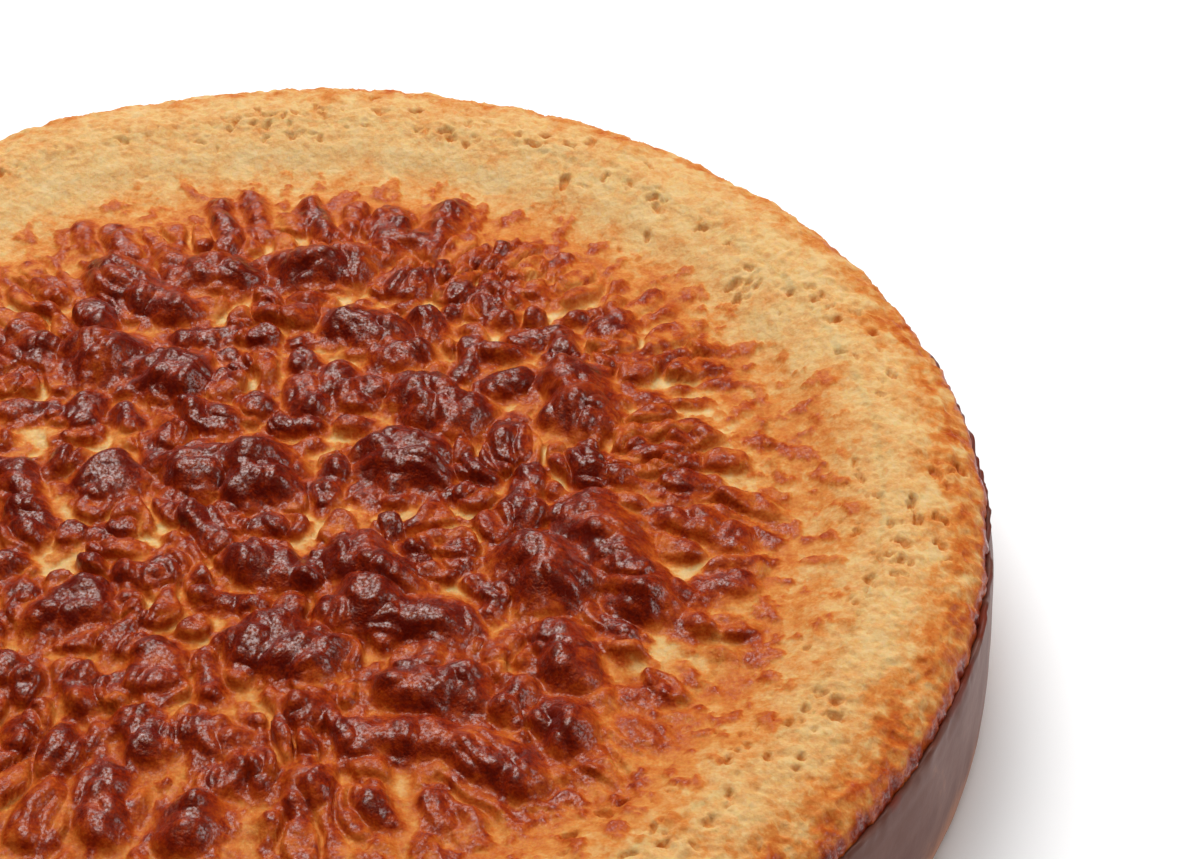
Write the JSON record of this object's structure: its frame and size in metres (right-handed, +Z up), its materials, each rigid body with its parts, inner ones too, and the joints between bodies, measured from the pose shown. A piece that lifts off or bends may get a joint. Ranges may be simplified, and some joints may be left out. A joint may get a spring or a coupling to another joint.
{
  "type": "corn cake",
  "caption": "Whole round corn cake with a golden rim, a dark blistered middle and the straight side of its tin.",
  "frame": {"origin": "middle of the flat base, on the surface that the cake stands on", "axes": "+Z up through the middle of the cake; +Y away from the picture's camera; +X to the right in the picture"},
  "size_m": [0.258, 0.258, 0.0435],
  "materials": {
    "crust": "semi-matte baked crust, glossier on the browned blisters"
  },
  "bodies": {
    "root": {"corn_cake": "crust"}
  },
  "joints": []
}
